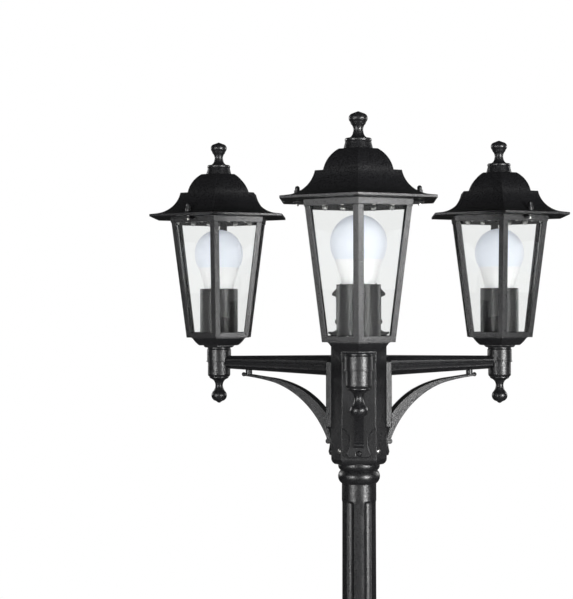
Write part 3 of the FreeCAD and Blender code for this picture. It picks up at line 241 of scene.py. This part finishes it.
def powder_coat(name, grain_height, roughness, sheen):
    """Powder coat whose grain sets colour, gloss and bumps together."""
    material, tree, place = fresh_material(name)
    grain = noise(tree, place, GRAIN_SCALE, detail=2.0, roughness=GRAIN_ROUGHNESS)
    ripple = noise(tree, place, RIPPLE_SCALE, detail=3.0)
    rounded = put(tree, "ShaderNodeBevel", {"Radius": EDGE_ROUND}, samples=EDGE_SAMPLES).outputs[0]
    flat = put(tree, "ShaderNodeNewGeometry").outputs["Normal"]
    turn = put(tree, "ShaderNodeVectorMath", {0: rounded, 1: flat}, operation="DOT_PRODUCT")
    # Painted highlight: where the rounded normal turns away from the flat one, the colour goes lighter
    # grey.
    painted_edge_highlight = spread(tree, turn.outputs["Value"], 0.0, EDGE_HIGHLIGHT_SHARE, EDGE_START, EDGE_FULL)
    speck = spread(tree, grain, 0.0, 1.0, SPECK_START, SPECK_FULL)
    gloss = spread(tree, grain, roughness - GLOSS_SPREAD, roughness + GLOSS_SPREAD, GRAIN_LOW, GRAIN_HIGH)
    wave = bump(tree, ripple, RIPPLE_STRENGTH, RIPPLE_HEIGHT, Normal=rounded)
    finish_surface(tree, {
        "Base Color": blend(tree, painted_edge_highlight, blend(tree, speck, COAT_DARK, COAT_PALE), COAT_EDGE_HIGHLIGHT),
        "Roughness": gloss,
        "Normal": bump(tree, grain, 1.0, grain_height, Normal=wave),
        "Specular IOR Level": sheen,
    })
    return material


def dress(material, names):
    """Gives CAD nodes their material."""
    for name in names:
        data = bpy.data.objects[name].data
        data.materials.clear()
        data.materials.append(material)


def on_lanterns(pieces):
    """The node names of pieces that each arm or lantern has."""
    return [piece + "_" + side for piece in pieces for side in LANTERNS]


cast_coat = powder_coat("cast_powder_coat", grain_height=0.00022, roughness=0.32, sheen=0.5)
dress(cast_coat, POST_PIECES + on_lanterns(ARM_PIECES))

# --- Sleeves, screws and nuts ------------------------------------------------------------------
# Rolled steel tubes round the lampholders and small steel fasteners, all in a thinner, smoother
# black coat. The sleeves push over the holders; the acorn nuts are turned down by hand.
smooth_coat = powder_coat("smooth_powder_coat", grain_height=0.00015, roughness=0.38, sheen=0.4)
dress(smooth_coat, ["post_screws", "plate_screws"] + on_lanterns(["sleeve", "cap_nuts"]))

# --- Studs, nipples and head screws ------------------------------------------------------------
# Zinc-plated steel rod and tube, cut from stock with fine turning marks. The studs are pressed
# into the cages' ears, the nipples clamp each lantern's base, hub and cup together, and the
# screws pin the head to the post.
ZINC = (0.62, 0.61, 0.58, 1)
ZINC_DULL = (0.42, 0.42, 0.41, 1)
TURNING_MARKS = (300, 300, 4000)  # per metre, close together along the axis
MARK_STRENGTH = 0.2
MARK_DEPTH = 0.0001  # m
BLOOM_SCALE = 220.0
ZINC_ROUGHNESS = (0.2, 0.42)  # from bright to dull


def zinc_plate():
    """Bright metal with a soft bloom and turning marks across the axis."""
    material, tree, place = fresh_material("zinc_plate")
    along = put(tree, "ShaderNodeMapping", {"Vector": place, "Scale": TURNING_MARKS}).outputs[0]
    marks = noise(tree, along, 1.0, detail=3.0)
    bloom = noise(tree, place, BLOOM_SCALE, detail=4.0)
    finish_surface(tree, {
        "Base Color": blend(tree, bloom, ZINC_DULL, ZINC),
        "Metallic": 1.0,
        "Roughness": spread(tree, marks, *ZINC_ROUGHNESS),
        "Normal": bump(tree, marks, MARK_STRENGTH, MARK_DEPTH),
    })
    return material


zinc = zinc_plate()
dress(zinc, ["roof_studs", "stem_nipples", "head_screws"])

# --- Panes -------------------------------------------------------------------------------------
# Six clear float-glass trapezoids to a lantern, cut with plain edges. They drop in behind the
# cage's flanges and are held from inside by two pan-head screws each.
GLASS_TINT = (0.967, 0.975, 0.970, 1)
GLASS_IOR = 1.5
ROLL_SCALE = 9.0  # the float's long waves
ROLL_STRENGTH = 0.02
ROLL_HEIGHT = 0.002  # m
FILM_SCALE = 30.0  # the thin film of dust
FILM_START = 0.4  # noise value at which the film starts
FILM_FULL = 0.8
FILM_HAZE = 0.03  # its roughness


def clear_glass():
    """Float glass: faintly green, with long waves and a thin film in patches."""
    material, tree, place = fresh_material("clear_glass")
    roll = noise(tree, place, ROLL_SCALE, detail=1.0)
    film = noise(tree, place, FILM_SCALE, detail=5.0)
    finish_surface(tree, {
        "Base Color": GLASS_TINT,
        "Roughness": spread(tree, film, 0.0, FILM_HAZE, FILM_START, FILM_FULL),
        "Normal": bump(tree, roll, ROLL_STRENGTH, ROLL_HEIGHT),
        "Transmission Weight": 1.0,
        "IOR": GLASS_IOR,
    })
    return material


dress(clear_glass(), on_lanterns(["panes"]))

# --- Bulbs, lampholders and terminal block -----------------------------------------------------
# LED bulbs: an opal dome glued into a moulded white body, and a pressed aluminium screw cap. The
# lampholders are moulded black and the terminal block in the head is moulded cream.
OPAL = (0.84, 0.87, 0.93, 1)
OPAL_DEEP = (0.80, 0.84, 0.91, 1)
BODY_WHITE = (0.92, 0.92, 0.92, 1)
BODY_SHADE = (0.89, 0.89, 0.89, 1)
HOLDER_BLACK = (0.02, 0.02, 0.021, 1)
HOLDER_DEEP = (0.014, 0.014, 0.015, 1)
TERMINAL_CREAM = (0.80, 0.78, 0.72, 1)
TERMINAL_DEEP = (0.76, 0.74, 0.68, 1)
CAP_METAL = (0.70, 0.70, 0.70, 1)
CAP_METAL_DULL = (0.55, 0.55, 0.56, 1)
CLOUD_SCALE = 45.0
FINE_SCALE = 1500.0
FINE_STRENGTH = 0.1
FINE_HEIGHT = 0.0001  # m
PLASTIC_GLOSSIER = 0.04  # how far the roughness wanders down and up
PLASTIC_DULLER = 0.06
BLUSH_SCALE = 260.0
CAP_ROUGHNESS = (0.22, 0.4)  # from bright to dull


def moulded(name, pale, deep, roughness, depth=0.0, reach=0.001, glow=0.0):
    """Moulded plastic. Depth is the share of light that wanders in it, over the reach in metres;
    glow is a painted glow, an emission that stands in for light spreading through it, not a lamp."""
    material, tree, place = fresh_material(name)
    cloud = noise(tree, place, CLOUD_SCALE, detail=3.0)
    fine = noise(tree, place, FINE_SCALE, detail=1.0)
    finish_surface(tree, {
        "Base Color": blend(tree, cloud, deep, pale),
        "Roughness": spread(tree, cloud, roughness - PLASTIC_GLOSSIER, roughness + PLASTIC_DULLER),
        "Normal": bump(tree, fine, FINE_STRENGTH, FINE_HEIGHT),
        "Subsurface Weight": depth,
        "Subsurface Radius": (1, 1, 1),
        "Subsurface Scale": reach,
        "Emission Color": pale,
        "Emission Strength": glow,
    })
    return material


def pressed_cap():
    """Bare aluminium, a little cloudy from the press."""
    material, tree, place = fresh_material("pressed_cap")
    blush = noise(tree, place, BLUSH_SCALE, detail=4.0)
    finish_surface(tree, {
        "Base Color": blend(tree, blush, CAP_METAL_DULL, CAP_METAL),
        "Metallic": 1.0,
        "Roughness": spread(tree, blush, *CAP_ROUGHNESS),
    })
    return material


# The dome and the white body carry a painted glow: a faint emission that stands in for light spreading
# through them, though the bulbs are not lit.
opal = moulded("opal_dome", OPAL, OPAL_DEEP, 0.35, depth=0.8, reach=0.012, glow=0.22)
body_white = moulded("bulb_body_white", BODY_WHITE, BODY_SHADE, 0.4, depth=0.4, reach=0.003, glow=0.26)
dress(opal, on_lanterns(["bulb_dome"]))
dress(body_white, on_lanterns(["bulb_housing"]))
dress(pressed_cap(), on_lanterns(["bulb_cap"]))
dress(moulded("holder_black", HOLDER_BLACK, HOLDER_DEEP, 0.5), on_lanterns(["socket"]))
dress(moulded("terminal_cream", TERMINAL_CREAM, TERMINAL_DEEP, 0.5), ["terminal_block"])

# --- Pane screws -------------------------------------------------------------------------------
# Small bright pan-head screws that hold the panes from inside, two to a pane just under the brim.
# Turned and zinc-plated, with a round dimple for the driver; modelled once, copied round each
# lantern.
SCREW_RADIUS = 0.0038
SCREW_FLATNESS = 0.66  # of a half ball's height
SCREW_SEGMENTS = 20
SCREW_RINGS = 12
DIMPLE_REACH = 0.4  # share of the radius, like the next two
DIMPLE_RIM = 0.05
DIMPLE_DEPTH = 0.25
SCREW_LEVEL = 1.5860
SCREW_ASIDE = 0.0115  # from the middle of the pane
PANE_COUNT = 6
PANE_INNER_FACE = 0.0528  # from the lantern's axis, at the screws' level
PANE_LEAN = 0.1225  # outwards per rise
LANTERN_REACH = 0.206  # from the post's axis
SMOOTH_ANGLE = 40.0  # degrees


def pan_head():
    """One screw head, seated on z = 0 and facing up."""
    bpy.ops.object.select_all(action="DESELECT")
    bpy.ops.mesh.primitive_uv_sphere_add(segments=SCREW_SEGMENTS, ring_count=SCREW_RINGS,
                                         radius=SCREW_RADIUS)
    head = bpy.context.object
    bpy.ops.object.mode_set(mode="EDIT")
    bpy.ops.mesh.select_all(action="SELECT")
    bpy.ops.mesh.bisect(plane_co=(0, 0, 0), plane_no=(0, 0, 1), use_fill=True, clear_inner=True)
    bpy.ops.mesh.select_all(action="SELECT")
    bpy.ops.transform.resize(value=(1, 1, SCREW_FLATNESS), center_override=(0, 0, 0))
    bpy.ops.object.mode_set(mode="OBJECT")
    for face in head.data.polygons:
        near_axis = face.center.xy.length < SCREW_RADIUS * DIMPLE_REACH
        face.select = face.normal.z > 0 and near_axis
    bpy.ops.object.mode_set(mode="EDIT")
    bpy.ops.mesh.select_mode(type="FACE")
    bpy.ops.mesh.inset(thickness=SCREW_RADIUS * DIMPLE_RIM)
    bpy.ops.transform.translate(value=(0, 0, -SCREW_RADIUS * DIMPLE_DEPTH))
    bpy.ops.object.mode_set(mode="OBJECT")
    bpy.ops.object.shade_smooth_by_angle(angle=radians(SMOOTH_ANGLE))
    head.data.materials.append(zinc)
    return head


pattern = pan_head()
inward = Vector((-1, 0, PANE_LEAN)).to_track_quat("Z", "Y").to_matrix().to_4x4()
for side, heading in LANTERNS.items():
    turn = Matrix.Rotation(radians(heading), 4, "Z")
    lantern = turn @ Matrix.Translation((LANTERN_REACH, 0, SCREW_LEVEL))
    copies = []
    for pane in range(PANE_COUNT):
        facing = Matrix.Rotation(radians(360 / PANE_COUNT * (pane + 0.5)), 4, "Z")
        for aside in (-SCREW_ASIDE, SCREW_ASIDE):
            seat = Matrix.Translation((PANE_INNER_FACE, aside, 0))
            copy = bpy.data.objects.new("pane_screws_" + side, pattern.data.copy())
            bpy.context.collection.objects.link(copy)
            copy.matrix_world = lantern @ facing @ seat @ inward
            copies.append(copy)
    bpy.ops.object.select_all(action="DESELECT")
    for copy in copies:
        copy.select_set(True)
    bpy.context.view_layer.objects.active = copies[0]
    bpy.ops.object.join()
    bpy.ops.object.transform_apply(location=True, rotation=True, scale=True)
    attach(copies[0], "post")
bpy.data.objects.remove(pattern)
